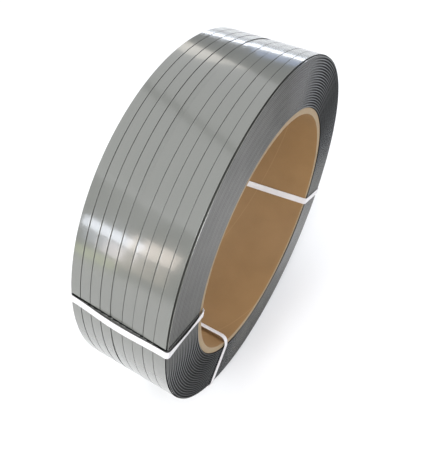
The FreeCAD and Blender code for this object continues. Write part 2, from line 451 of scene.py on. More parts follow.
        # Specular level drops in the shaded arcs except on the crests, a painted shade on the
        # reflection that stands for deep, closed-in notches.
        open_share = add_node(tree, "ShaderNodeMath", {
            0: crest_highlight.outputs["Value"], 1: 1.0}, operation="SUBTRACT")
        shine = add_node(tree, "ShaderNodeMath", {
            0: open_share.outputs["Value"], 1: shaded.outputs["Value"], 2: 1.0},
            operation="MULTIPLY_ADD")
        level = add_node(tree, "ShaderNodeMapRange", {
            "Value": shine.outputs["Value"], "To Min": 0.04, "To Max": 0.5})
        relief = add_node(tree, "ShaderNodeBump", {
            "Height": edge.outputs["Result"], "Strength": 0.4, "Distance": self.bump_mm * MM})
        along = add_node(tree, "ShaderNodeTangent", direction_type="RADIAL", axis="Y")
        shader = add_node(tree, "ShaderNodeBsdfPrincipled", {
            "Base Color": colour.outputs["Result"],
            "Roughness": self.roughness,
            "IOR": self.ior,
            "Specular IOR Level": level.outputs["Result"],
            "Anisotropic": self.anisotropy,
            "Tangent": along.outputs["Tangent"],
            "Normal": relief.outputs["Normal"]})
        tree.links.new(shader.outputs["BSDF"], output.inputs["Surface"])
        return material


@dataclass(frozen=True)
class PaintedShadeFinish:
    """Painted shade: near black and dull, for the deepest faces of the creases beside the tie
    bands, standing in for the shadow in a narrow gap between turns of strap.

    Gives the eye a dull black line.
    """

    name: str = "painted_shade_in_strap_gaps"
    shade_hex: str = "#151615"
    roughness: float = 0.85

    def build(self) -> bpy.types.Material:
        """Build the material.

        Returns:
            The gap's material.
        """
        material, tree, output = new_material(self.name)
        shader = add_node(tree, "ShaderNodeBsdfPrincipled", {
            "Base Color": linear(self.shade_hex), "Roughness": self.roughness,
            "Specular IOR Level": 0.1})
        tree.links.new(shader.outputs["BSDF"], output.inputs["Surface"])
        return material


@dataclass(frozen=True)
class KraftBoardFinish:
    """Spiral wound kraft board: brown paper rolled smooth on a mandrel.

    Gives the eye a warm, almost matt brown with faint fibres, soft blotches and the pale line
    of a seam where one turn of paper meets the next.
    """

    name: str = "spiral_wound_kraft_board"
    light_hex: str = "#967449"
    dark_hex: str = "#83633b"
    seam_hex: str = "#ab8a5f"
    roughness: float = 0.62
    ior: float = 1.5
    fibre_mm: float = 1.2
    blotch_mm: float = 45.0
    speckle: float = 0.22
    seam_lead_mm: float = 310.0
    seam_width_mm: float = 1.2
    bump_mm: float = 0.05

    def build(self) -> bpy.types.Material:
        """Build the material.

        Returns:
            The board's material.
        """
        material, tree, output = new_material(self.name)
        place = add_node(tree, "ShaderNodeTexCoord")
        blotches = add_node(tree, "ShaderNodeTexNoise", {
            "Vector": place.outputs["Object"], "Scale": 1.0 / (self.blotch_mm * MM),
            "Detail": 4.0})
        fibres = add_node(tree, "ShaderNodeTexNoise", {
            "Vector": place.outputs["Object"], "Scale": 1.0 / (self.fibre_mm * MM),
            "Detail": 5.0, "Roughness": 0.7})
        axes = add_node(tree, "ShaderNodeSeparateXYZ", {"Vector": place.outputs["Object"]})
        turn = add_node(tree, "ShaderNodeMath", {
            0: axes.outputs["Z"], 1: axes.outputs["X"]}, operation="ARCTAN2")
        turns = add_node(tree, "ShaderNodeMath", {0: turn.outputs["Value"], 1: FULL_TURN},
                         operation="DIVIDE")
        climb = add_node(tree, "ShaderNodeMath", {
            0: axes.outputs["Y"], 1: 1.0 / (self.seam_lead_mm * MM), 2: turns.outputs["Value"]},
            operation="MULTIPLY_ADD")
        # Two plies show inside, so a seam comes twice a turn.
        twice = add_node(tree, "ShaderNodeMath", {0: climb.outputs["Value"], 1: 2.0},
                         operation="MULTIPLY")
        off_seam = add_node(tree, "ShaderNodeMath", {0: twice.outputs["Value"], 1: 0.5},
                            operation="PINGPONG")
        seam = add_node(tree, "ShaderNodeMapRange", {
            "Value": off_seam.outputs["Value"], "From Min": 0.0,
            "From Max": 2.0 * self.seam_width_mm / self.seam_lead_mm,
            "To Min": 1.0, "To Max": 0.0})
        board = add_node(tree, "ShaderNodeMix", {
            "Factor": blotches.outputs["Fac"],
            "A": linear(self.dark_hex), "B": linear(self.light_hex)}, data_type="RGBA")
        speckled = add_node(tree, "ShaderNodeMix", {
            "Factor": self.speckle, "A": board.outputs["Result"], "B": fibres.outputs["Color"]},
            data_type="RGBA", blend_type="SOFT_LIGHT")
        faint = add_node(tree, "ShaderNodeMath", {0: seam.outputs["Result"], 1: 0.35},
                         operation="MULTIPLY")
        colour = add_node(tree, "ShaderNodeMix", {
            "Factor": faint.outputs["Value"],
            "A": speckled.outputs["Result"], "B": linear(self.seam_hex)}, data_type="RGBA")
        height = add_node(tree, "ShaderNodeMath", {
            0: seam.outputs["Result"], 1: 0.8, 2: fibres.outputs["Fac"]},
            operation="MULTIPLY_ADD")
        relief = add_node(tree, "ShaderNodeBump", {
            "Height": height.outputs["Value"], "Strength": 0.4, "Distance": self.bump_mm * MM})
        shader = add_node(tree, "ShaderNodeBsdfPrincipled", {
            "Base Color": colour.outputs["Result"],
            "Roughness": self.roughness,
            "IOR": self.ior,
            "Normal": relief.outputs["Normal"]})
        tree.links.new(shader.outputs["BSDF"], output.inputs["Surface"])
        return material


@dataclass(frozen=True)
class TieBandFinish:
    """White polypropylene band, rolled with a fine waffle.

    Gives the eye a soft, milky white with a satin sheen.
    """

    name: str = "embossed_pp_band"
    light_hex: str = "#e4e2e2"
    dark_hex: str = "#d8d5d6"
    roughness: float = 0.36
    ior: float = 1.49
    waffle_mm: float = 1.6
    bump_mm: float = 0.05

    def build(self) -> bpy.types.Material:
        """Build the material.

        Returns:
            The band's material.
        """
        material, tree, output = new_material(self.name)
        surface = add_node(tree, "ShaderNodeUVMap", uv_map="surface")
        turned = add_node(tree, "ShaderNodeMapping", {
            "Vector": surface.outputs["UV"], "Rotation": (0.0, 0.0, math.radians(45.0)),
            "Scale": (1.0 / (self.waffle_mm * MM),) * 3})
        waffle = add_node(tree, "ShaderNodeTexVoronoi", {
            "Vector": turned.outputs["Vector"], "Scale": 1.0, "Randomness": 0.0},
            distance="CHEBYCHEV")
        clouds = add_node(tree, "ShaderNodeTexNoise", {
            "Vector": surface.outputs["UV"], "Scale": 60.0, "Detail": 2.0})
        colour = add_node(tree, "ShaderNodeMix", {
            "Factor": clouds.outputs["Fac"],
            "A": linear(self.light_hex), "B": linear(self.dark_hex)}, data_type="RGBA")
        relief = add_node(tree, "ShaderNodeBump", {
            "Height": waffle.outputs["Distance"], "Strength": 0.3,
            "Distance": self.bump_mm * MM})
        shader = add_node(tree, "ShaderNodeBsdfPrincipled", {
            "Base Color": colour.outputs["Result"],
            "Roughness": self.roughness,
            "IOR": self.ior,
            "Subsurface Weight": 0.15,
            "Subsurface Radius": (1.0, 1.0, 1.0),
            "Subsurface Scale": 0.6 * MM,
            "Normal": relief.outputs["Normal"]})
        tree.links.new(shader.outputs["BSDF"], output.inputs["Surface"])
        return material


# ---------------------------------------------------------------- creases


@dataclass(frozen=True)
class Crease:
    """A narrow crease in the strap beside a tie band, whose deepest faces take a painted shade."""

    middle_deg: float
    near_skew_deg: float
    far_skew_deg: float
    depth_mm: float = 3.2
    width_mm: float = 1.5
    step_deg: float = 0.12

    def rows(self) -> np.ndarray:
        """Angles that a grid needs to show the crease."""
        skews = (self.near_skew_deg, self.far_skew_deg)
        low = self.middle_deg + min(skews) - 0.7
        high = self.middle_deg + max(skews) + 0.7
        return np.radians(np.arange(low, high, self.step_deg))

    def depth(self, sizes: RollSizes, angles: np.ndarray, places: np.ndarray) -> np.ndarray:
        """Depth of the crease.

        Formula: the crease's depth times a bell curve of the distance round the rim from its
        middle line, which goes evenly from the near skew to the far skew.

        Args:
            sizes: The roll's sizes.
            angles: Angles round the roll.
            places: Places along the axis.

        Returns:
            Depths in metres.
        """
        blend = np.clip((places / sizes.coil_half_width + 1.0) / 2.0, 0.0, 1.0)
        middle = (self.middle_deg + self.near_skew_deg
                  + (self.far_skew_deg - self.near_skew_deg) * blend)
        off = (angles - np.radians(middle)) * sizes.coil_radius / (self.width_mm * MM / 1.5)
        return self.depth_mm * MM * np.exp(-off ** 2)


def crease_depths(
    creases: tuple[Crease, ...], sizes: RollSizes, angles: np.ndarray, places: np.ndarray
) -> np.ndarray:
    """Depths of all the creases together.

    Args:
        creases: The creases.
        sizes: The roll's sizes.
        angles: Angles round the roll.
        places: Places along the axis.

    Returns:
        Depths in metres, nothing where there is no crease.
    """
    depths = np.zeros(np.broadcast_shapes(angles.shape, places.shape))
    for crease in creases:
        depths = depths + crease.depth(sizes, angles, places)
    return depths


def shaded_crease_faces(depths: np.ndarray, creases: tuple[Crease, ...]) -> np.ndarray:
    """Faces of a closed grid that lie in the depth of a crease, where the painted shade goes.

    Args:
        depths: Crease depth at each point, rows by columns.
        creases: The creases.

    Returns:
        True for each face, in the order of the grid, whose corners lie deep on average.
    """
    rows = (depths + np.roll(depths, -1, axis=0)) / 2.0
    faces = (rows + np.roll(rows, -1, axis=1)) / 2.0
    limit = min((one.depth_mm for one in creases), default=1.0) * 0.3 * MM
    return (faces > limit).ravel()


def creased_angles(steps_round: int, creases: tuple[Crease, ...]) -> np.ndarray:
    """Even angles round the roll, with more of them where creases are.

    Args:
        steps_round: Number of even steps.
        creases: The creases.

    Returns:
        Angles in order, from 0 to just under a full turn.
    """
    even = np.linspace(0.0, FULL_TURN, steps_round, endpoint=False)
    return np.unique(np.round(np.concatenate([even, *[one.rows() for one in creases]]), 6))


# ---------------------------------------------------------------- wound coil


@dataclass
class WoundCoil:
    """The strap under its outer layer: a solid ring whose ends show the layers as ridges."""

    sizes: RollSizes
    rim_creases: tuple[Crease, ...]
    end_creases: tuple[Crease, ...]
    layer_mm: float = 0.96
    ridges: int = 20
    ridge_depth_mm: float = 1.9
    wander_mm: float = 0.22
    rim_round_mm: float = 0.35
    # Slit beside the outer layer, at each end: where it starts and stops from the coil's end.
    slit_from_mm: float = 1.3
    slit_to_mm: float = 4.5
    slit_depth_mm: float = 2.2
    steps_round: int = 330
    steps_per_ridge: int = 5
    steps_across_rim: int = 16

    @property
    def rim_radius(self) -> float:
        """Radius of the layer just under the outer one."""
        return self.sizes.coil_radius - self.layer_mm * MM

    def ridge_relief(self, share: np.ndarray, angles: np.ndarray) -> np.ndarray:
        """How far the end face lies below its highest plane.

        Formula: across one ridge, from -1 to 1, the face drops by the depth times the square of
        the distance from the crest, so crests are round and the notches between them sharp. The
        depth swells and fades twice round the roll. Each ridge's crest also wanders in and out
        by a slow sine of its own.

        Args:
            share: Place across the coil's wall, 0 at the core and 1 at the rim.
            angles: Angles round the roll.

        Returns:
            Depths in metres, angles by shares.
        """
        ridge = np.minimum(np.floor(share * self.ridges + 1e-9), self.ridges - 1)
        across = 2.0 * (share * self.ridges - ridge) - 1.0
        swell = 0.55 + 0.45 * np.cos(2.0 * (angles - math.radians(42.0)))
        notch = self.ridge_depth_mm * MM * np.abs(across)[None, :] ** 2 * swell[:, None]
        phase = ridge * 2.4
        turns = 1.0 + ridge % 3
        crest = 0.5 + 0.5 * np.sin(angles[:, None] * turns[None, :] + phase[None, :])
        return notch + self.wander_mm * MM * crest * (1.0 - np.abs(across)[None, :] ** 2)

    def build(self, strap: bpy.types.Material, edges: bpy.types.Material,
              gap: bpy.types.Material) -> bpy.types.Object:
        """Build the coil.

        Args:
            strap: Finish of the strap's face, on the rim.
            edges: Finish of the strap's edges, on both ends.
            gap: Finish of the creases, a painted shade.

        Returns:
            The coil's object.
        """
        sizes = self.sizes
        angles = creased_angles(self.steps_round, self.rim_creases + self.end_creases)
        shares = np.linspace(0.0, 1.0, self.ridges * self.steps_per_ridge + 1)
        relief = self.ridge_relief(shares, angles)
        radii = sizes.core_radius + shares * (self.rim_radius - sizes.core_radius)
        half = sizes.coil_half_width
        rounding = self.rim_round_mm * MM
        end_depths = crease_depths(self.end_creases, sizes, angles[:, None], np.array(-half))
        near = ring_points(radii[None, :], -half + relief + end_depths, angles[:, None])
        far = ring_points(radii[None, ::-1], half - relief[:, ::-1], angles[:, None])
        lip, inner = self.slit_from_mm * MM, self.slit_to_mm * MM
        edge = half - np.array([2.0 * rounding, lip - 0.1 * MM, lip, inner])
        rim_y = np.concatenate([-edge, np.linspace(-edge[-1], edge[-1], self.steps_across_rim),
                                edge[::-1]])
        top = self.rim_radius + rounding * 0.2
        floor = top - self.slit_depth_mm * MM
        step = np.array([top, top, floor, floor])
        rim_r = np.concatenate([step, np.full(self.steps_across_rim, top), step[::-1]])
        rim_depths = crease_depths(self.rim_creases, sizes, angles[:, None], rim_y[None, :])
        rim = ring_points(rim_r[None, :] - rim_depths, rim_y[None, :], angles[:, None])
        points = np.concatenate([near, rim, far], axis=1)
        columns = points.shape[1]
        face_columns = np.zeros(columns, dtype=np.int32)
        face_columns[:near.shape[1] - 1] = 1
        face_columns[near.shape[1] + rim.shape[1]:-1] = 1
        # The slits' walls and floors show edges of strap too.
        start, stop = near.shape[1], near.shape[1] + rim.shape[1]
        face_columns[start + 1:start + 4] = 1
        face_columns[stop - 5:stop - 2] = 1
        face_columns[-1] = 1
        depths = np.zeros(points.shape[:2])
        depths[:, :start] = end_depths
        depths[:, start:stop] = rim_depths
        deep = shaded_crease_faces(depths, self.rim_creases + self.end_creases)
        # The deepest crease faces take the painted shade finish.
        face_materials = np.where(deep, 2, np.tile(face_columns, len(angles)))
        return make_piece("wound_coil", [points], [strap, edges, gap],
                          ("strap_coil",), 75.0, face_materials)


# ---------------------------------------------------------------- outer layer


@dataclass
class OuterLanes:
    """The outer layer: lanes of strap laid side by side round the rim.

    The lanes on the near side drift along the axis as they go round, and open a gap to those on
    the far side, where the layer below shows.
    """

    sizes: RollSizes
    creases: tuple[Crease, ...]
    layer_mm: float = 0.96
    strap_width_mm: float = 16.0
    strap_thickness_mm: float = 0.9
    edge_round_mm: float = 0.2
    lane_pitch_mm: float = 16.25
    # Slit widths, near group first. A wider slit shows as a darker line.
    near_slits_mm: tuple[float, ...] = (0.35, 0.85, 0.35, 0.6)
    far_slits_mm: tuple[float, ...] = (0.9, 0.8, 0.9)
    edge_setback_mm: float = 3.25
    # Shift of each group of lanes on top of the roll and low on its front.
    near_drift_mm: tuple[float, float] = (-1.4, 2.8)
    far_drift_mm: tuple[float, float] = (1.9, 0.1)
    tilt_mm: float = 0.14
    lift_mm: float = 0.1
    steps_round: int = 360
    seed: int = 7

    def drift(self, angles: np.ndarray, ends_mm: tuple[float, float]) -> np.ndarray:
        """Shift of a group of lanes along the axis.

        Formula: it eases from the first value to the second between 95 and 185 degrees round
        the roll, and back between 240 and 330 degrees.

        Args:
            angles: Angles round the roll.
            ends_mm: The two values.

        Returns:
            Shifts in metres.
        """
        degrees = np.degrees(angles)
        rise = smooth_step((degrees - 95.0) / 90.0) - smooth_step((degrees - 240.0) / 90.0)
        low, high = ends_mm
        return (low + (high - low) * rise) * MM

    def strap_section(self, width: float) -> tuple[np.ndarray, np.ndarray]:
        """Section of one lane: place across it and height over the layer below.

        Formula: a flat bottom, two upright edges with a quarter round above each, and a top
        that is slightly crowned.

        Args:
            width: Width of the strap in metres.

        Returns:
            Places across and heights, in metres, in order round the section.
        """
        round_mm = self.edge_round_mm
        turn = np.linspace(0.0, math.pi / 2.0, 4)
        half = width / 2.0
        top = self.strap_thickness_mm * MM
        radius = round_mm * MM
        edge_across = half - radius + radius * np.cos(turn)
        edge_height = top - radius + radius * np.sin(turn)
        flat_to = half - radius - self.edge_round_mm * MM
        inner = np.array([flat_to, 0.4 * half, -0.4 * half, -flat_to])
        crown = top + 0.02 * MM * (1.0 - (inner / half) ** 2)
        across = np.concatenate([[half], edge_across, inner, -edge_across[::-1], [-half]])
        height = np.concatenate([[0.0], edge_height, crown, edge_height[::-1], [0.0]])
        return across, height

    def lane(self, low: float, high: float, drift: np.ndarray, held: float, angles: np.ndarray,
             draw: np.random.Generator) -> tuple[np.ndarray, np.ndarray]:
        """Points of one lane.

        Formula: the section is carried round the rim, shifted along the axis by the drift, or
        squeezed against the edge that is held. It leans by a small angle and rises by
        a slow sine round the roll.

        Args:
            low: Near edge of the lane, in metres.
            high: Far edge of the lane, in metres.
            drift: Shift along the axis at each angle.
            held: Edge that stays at the coil's end: 1 far, -1 near, 0 none.
            angles: Angles round the roll.
            draw: Source of random numbers.

        Returns:
            Grid of angles by section points, and the crease's depth at each point.
        """
        across, height = self.strap_section(high - low)
        base = self.sizes.coil_radius - self.layer_mm * MM + 0.02 * MM
        lean = draw.uniform(-1.0, 1.0) + 0.5 * np.sin(angles * draw.integers(2, 5)
                                                      + draw.uniform(0.0, FULL_TURN))
        rise = 0.5 + 0.5 * np.sin(angles * draw.integers(3, 8) + draw.uniform(0.0, FULL_TURN))
        share = across / (high - low)
        lifted = (
            self.tilt_mm * MM * (np.abs(lean)[:, None] * 0.5 + lean[:, None] * share[None, :])
            + self.lift_mm * MM * rise[:, None]
        )
        top_share = np.clip(height / (self.strap_thickness_mm * MM), 0.0, 1.0)
        radii = base + height[None, :] + lifted * top_share[None, :]
        moved = drift[:, None] * (1.0 - abs(held) * 0.5 - held * share[None, :])
        places = (low + high) / 2.0 + across[None, :] + moved
        depths = crease_depths(self.creases, self.sizes, angles[:, None], places)
        return ring_points(radii - depths, places, angles[:, None]), depths

    def edges(self) -> list[tuple[float, float, tuple[float, float], float]]:
        """Near and far edge of each lane in metres, its drift, and which edge is held."""
        half = self.sizes.coil_half_width
        lanes = []
        far_width = (len(self.far_slits_mm) * self.lane_pitch_mm + self.strap_width_mm) * MM
        groups = (
            (-half + self.edge_setback_mm * MM, self.near_slits_mm, self.near_drift_mm),
            (half - far_width, self.far_slits_mm, self.far_drift_mm),
        )
        for start, slits, drift_mm in groups:
            count = len(slits) + 1
            for index in range(count):
                low = start + index * self.lane_pitch_mm * MM
                high = low + self.strap_width_mm * MM
                spare = (self.lane_pitch_mm - self.strap_width_mm) * MM
                if index > 0:
                    low += (slits[index - 1] * MM - spare) / 2.0
                if index < count - 1:
                    high -= (slits[index] * MM - spare) / 2.0
                at_far_end = drift_mm is self.far_drift_mm and index == count - 1
                at_near_end = drift_mm is self.near_drift_mm and index == 0
                lanes.append((low, high, drift_mm, float(at_far_end) - float(at_near_end)))
        return lanes

    def build(self, strap: bpy.types.Material, edges: bpy.types.Material,
              gap: bpy.types.Material) -> bpy.types.Object:
        """Build the lanes as one piece.

        Args:
            strap: Finish of the strap's face.
            edges: Finish of the strap's edges.
            gap: Finish of the crease, a painted shade.

        Returns:
            The lanes' object.
        """
        draw = np.random.default_rng(self.seed)
        angles = creased_angles(self.steps_round, self.creases)
        lanes = [
            self.lane(low, high, self.drift(angles, drift_mm), held, angles, draw)
            for low, high, drift_mm, held in self.edges()
        ]
        grids = [grid for grid, _ in lanes]
        columns = np.ones(grids[0].shape[1], dtype=np.int32)
        # The wall and the first part of the rounding, on both sides, are the strap's edges.
        columns[3:-4] = 0
        columns[-1] = 0
        deep = np.concatenate([shaded_crease_faces(depths, self.creases) for _, depths in lanes])
        # The deepest crease faces take the painted shade finish.
        face_materials = np.where(deep, 2, np.tile(columns, len(angles) * len(grids)))
        return make_piece("strap_outer_lanes", grids, [strap, edges, gap],
                          ("strap_coil",), 60.0, face_materials)


# ---------------------------------------------------------------- paper core


@dataclass
class PaperCore:
    """The spiral wound paper core, a little shorter than the coil."""

    sizes: RollSizes
    plies: int = 14
    ply_relief_mm: float = 0.12
    edge_round_mm: float = 0.7
    steps_round: int = 360
    steps_along: int = 40

    def build(self, board: bpy.types.Material, cut: bpy.types.Material) -> bpy.types.Object:
        """Build the core.

        Formula: the section runs along the bore, up the far end, back along the outside and down
        the near end. The ends are saw-toothed by the plies, and both their corners are cut off by
        one short bevel.

        Args:
            board: Finish of the core's inside and outside.
            cut: Finish of its cut ends.

        Returns:
            The core's object.
        """
        sizes = self.sizes
        angles = np.linspace(0.0, FULL_TURN, self.steps_round, endpoint=False)
        rounding = self.edge_round_mm * MM
        half = sizes.core_half_length
        wall = sizes.core_radius - sizes.bore_radius
        steps = np.linspace(0.0, 1.0, 4 * self.plies + 1)
        radii = sizes.bore_radius + rounding * 0.3 + (wall - rounding * 0.6) * steps
        tooth = np.abs(np.sin(steps * self.plies * math.pi)) * self.ply_relief_mm * MM
        end_y = half - self.ply_relief_mm * MM + tooth
        bore_y = np.linspace(-half + rounding, half - rounding, self.steps_along)
        outer_y = np.linspace(half - rounding, -half + rounding, 4)
        profile_r = np.concatenate([
            np.full_like(bore_y, sizes.bore_radius), radii,
            np.full_like(outer_y, sizes.core_radius), radii[::-1]])
        profile_y = np.concatenate([bore_y, end_y, outer_y, -end_y[::-1]])
        points = ring_points(profile_r[None, :], profile_y[None, :], angles[:, None])
        columns = np.zeros(len(profile_r), dtype=np.int32)
        far_start = len(bore_y) - 1
        columns[far_start:far_start + len(radii) + 1] = 1
        columns[-len(radii) - 1:] = 1
        return make_piece("paper_core", [points], [board, cut], ("core_tube",),
                          70.0, np.tile(columns, self.steps_round))


# ---------------------------------------------------------------- tie bands


@dataclass
class TieBand:
    """One tie band: a loop through the bore and over the rim, welded where its ends lap."""

    sizes: RollSizes
    node: str
    near_skew_deg: float
    far_skew_deg: float
    rim_bow_mm: float
    bore_bow_mm: float
    near_bow_mm: float = 0.0
    near_bore_bend_mm: float = 4.4
    near_twist_deg: float = 0.0
    width_mm: float = 12.0
    thickness_mm: float = 0.6
    bore_gap_mm: float = 0.3
    stand_off_mm: float = 1.2
    bend_mm: float = 4.4
    edge_round_mm: float = 0.22
    lap_mm: float = 34.0
    steps_along: int = 560

    def middle_angle(self) -> float:
        """Angle of the band's place round the roll, from the middle of its node's box."""
        low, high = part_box(self.node)
        middle = (low + high) / 2.0
        return math.atan2(middle.z, middle.x)

    def loop(self) -> tuple[np.ndarray, np.ndarray]:
        """Middle line of the band as radius and place along the axis, lap included.

        Formula: a rectangle with quarter circles at its corners, walked at even steps from the
        middle of the far end, through the bore and over the rim, and on past its start by the
        lap.

        Returns:
            Radii and places along the axis, in metres.
        """
        bend = (self.bend_mm + self.thickness_mm / 2.0) * MM
        wide = (self.near_bore_bend_mm + self.thickness_mm / 2.0) * MM
        low_r = self.sizes.bore_radius - (self.bore_gap_mm + self.thickness_mm / 2.0) * MM
        high_r = self.sizes.coil_radius + (self.stand_off_mm + self.thickness_mm / 2.0) * MM
        half = self.sizes.coil_half_width + (self.stand_off_mm + self.thickness_mm / 2.0) * MM
        turn = np.linspace(0.0, math.pi / 2.0, 12)
        corners = (
            (low_r + bend, half - bend, bend, math.pi / 2.0),
            (low_r + wide, -half + wide, wide, math.pi),
            (high_r - bend, -half + bend, bend, 1.5 * math.pi),
            (high_r - bend, half - bend, bend, 0.0),
        )
        start = np.array([[(low_r + high_r) / 2.0, half]])
        arcs = [
            np.stack([x + size * np.cos(first + turn), y + size * np.sin(first + turn)], axis=-1)
            for x, y, size, first in corners
        ]
        outline = np.concatenate([start, *arcs, start])
        lengths = np.concatenate(
            [[0.0], np.cumsum(np.linalg.norm(np.diff(outline, axis=0), axis=-1))])
        walk = np.linspace(0.0, lengths[-1] + self.lap_mm * MM, self.steps_along)
        along = walk % lengths[-1]
        return np.interp(along, lengths, outline[:, 0]), np.interp(along, lengths, outline[:, 1])

    def build(self, band: bpy.types.Material) -> bpy.types.Object:
        """Build the band.

        Formula: the middle line bows off the rim and off the bore by a squared cosine of the
        place along the axis, and off the bore's near edge by a value that fades to nothing at
        the bore's middle. Its angle round the roll goes evenly from the near skew to the
        far skew. On the near end the band turns about its own line by the near twist, times a
        sine that is nothing at the bore and the rim, and stands off a little as it turns. The
        last stretch steps out by one thickness to lie on the first. The section, a flat bar
        with rounded edges, is carried along that line, and shrinks to a point at both ends to
        close them.

        Args:
            band: Finish of the band.

        Returns:
            The band's object.
        """
        radii, places = self.loop()
        sizes = self.sizes
        middle_r = (sizes.bore_radius + sizes.coil_radius) / 2.0
        half = sizes.coil_half_width
        along_axis = np.clip(places / half, -1.0, 1.0)
        hump = np.cos(along_axis * math.pi / 2.0) ** 2
        on_rim = smooth_step((radii - middle_r) / (sizes.coil_radius - middle_r) * 1.2 - 0.2)
        on_bore = smooth_step((middle_r - radii) / (middle_r - sizes.bore_radius) * 1.2 - 0.2)
        bore_bow = hump * self.bore_bow_mm
        bore_bow += self.near_bow_mm * (1.0 - smooth_step(along_axis + 1.0))
        radii = radii + (hump * on_rim * self.rim_bow_mm - on_bore * bore_bow) * MM
        blend = (places / half + 1.0) / 2.0
        skew = self.near_skew_deg + (self.far_skew_deg - self.near_skew_deg) * blend
        angles = self.middle_angle() + np.radians(skew)
        centre = ring_points(radii, places, angles)

        along = np.gradient(centre, axis=0)
        along /= np.linalg.norm(along, axis=-1, keepdims=True)
        sideways = np.stack([-np.sin(angles), np.zeros_like(angles), np.cos(angles)], axis=-1)
        sideways -= along * np.sum(sideways * along, axis=-1, keepdims=True)
        sideways /= np.linalg.norm(sideways, axis=-1, keepdims=True)
        outward = np.cross(along, sideways)
        middle = ring_points(np.array(middle_r), np.array(0.0), angles)
        facing = np.sign(np.sum(outward * (centre - middle), axis=-1, keepdims=True))
        outward *= facing
        wall_share = np.clip((radii - sizes.bore_radius) / (sizes.coil_radius - sizes.bore_radius),
                             0.0, 1.0)
        near_side = smooth_step((-along_axis - 0.8) / 0.2)
        twist = math.radians(self.near_twist_deg) * near_side * np.sin(math.pi * wall_share)
        turned = (np.cos(twist)[:, None] * sideways + np.sin(twist)[:, None] * outward)
        outward = np.cos(twist)[:, None] * outward - np.sin(twist)[:, None] * sideways
        sideways = turned
        stand = 0.12 * self.width_mm * MM * np.abs(np.sin(twist))
        centre = centre + outward * stand[:, None]

        steps = np.arange(self.steps_along)
        step_length = np.linalg.norm(centre[1] - centre[0])
        lap_start = self.steps_along - 1 - self.lap_mm * MM / step_length
        step_out = smooth_step((steps - lap_start + 12.0) / 10.0) * self.thickness_mm * MM
        centre = centre + outward * step_out[:, None]

        across, height = self.section()
        closing = np.ones(self.steps_along)
        closing[[0, -1]] = 0.0
        points = (
            centre[:, None, :]
            + sideways[:, None, :] * (across[None, :] * closing[:, None])[..., None]
            + outward[:, None, :] * (height[None, :] * closing[:, None])[..., None]
        )
        return make_piece(f"{self.node}_strip", [points], [band],
                          (self.node,), 50.0)

    def section(self) -> tuple[np.ndarray, np.ndarray]:
        """Section of the band: a flat bar whose four edges are rounded.

        Returns:
            Places across and heights from the middle line, in metres.
        """
        radius = self.edge_round_mm * MM
        half_w = self.width_mm * MM / 2.0 - radius
        half_t = self.thickness_mm * MM / 2.0 - radius
        turn = np.linspace(0.0, math.pi / 2.0, 3)
        signs = ((1, 1, 0.0), (-1, 1, 0.5), (-1, -1, 1.0), (1, -1, 1.5))
        across = [sx * half_w + radius * np.cos(turn + first * math.pi) for sx, _, first in signs]
        height = [sy * half_t + radius * np.sin(turn + first * math.pi) for _, sy, first in signs]
        return np.concatenate(across), np.concatenate(height)


# ---------------------------------------------------------------- studio


@dataclass(frozen=True)
class SoftBox:
    """A rectangular studio light."""

    name: str
    place: tuple[float, float, float]
    facing: tuple[float, float, float]
    width: float
    height: float
    radiance: float
    tint_hex: str = "#ffffff"
    roll_deg: float = 0.0

    @classmethod
    def seen_from(
        cls, name: str, point: tuple[float, float, float], azimuth_deg: float,
        elevation_deg: float, distance: float, width: float, height: float, radiance: float,
        tint_hex: str,
    ) -> "SoftBox":
        """Make a light that a point of the roll sees in a given direction.

        Args:
            name: The light's name.
            point: The point that it faces.
            azimuth_deg: Direction of the light from +X towards +Y.
            elevation_deg: Direction of the light above the horizon.
            distance: How far the light is from the point.
            width: Level side of the light.
            height: Upright side of the light.
            radiance: Brightness of its face.
            tint_hex: Colour of its face.

        Returns:
            The light.
        """
        azimuth, elevation = math.radians(azimuth_deg), math.radians(elevation_deg)
        towards = Vector((math.cos(azimuth) * math.cos(elevation),
                          math.sin(azimuth) * math.cos(elevation), math.sin(elevation)))
        place = Vector(point) + towards * distance
        return cls(name, tuple(place), tuple(-towards), width, height, radiance, tint_hex)

    def build(self) -> None:
        """Place the light.

        Formula: an area light's power is four times its radiance times its area.
        """
        lamp = bpy.data.lights.new(self.name, "AREA")
        lamp.shape = "RECTANGLE"
        lamp.size, lamp.size_y = self.width, self.height
        lamp.energy = 4.0 * self.radiance * self.width * self.height
        lamp.color = linear(self.tint_hex)[:3]
        light = bpy.data.objects.new(self.name, lamp)
        bpy.context.scene.collection.objects.link(light)
        light.location = self.place
        light.rotation_mode = "QUATERNION"
        facing = Vector(self.facing).to_track_quat("-Z", "Y")
        light.rotation_quaternion = facing @ Quaternion((0.0, 0.0, 1.0),
                                                        math.radians(self.roll_deg))


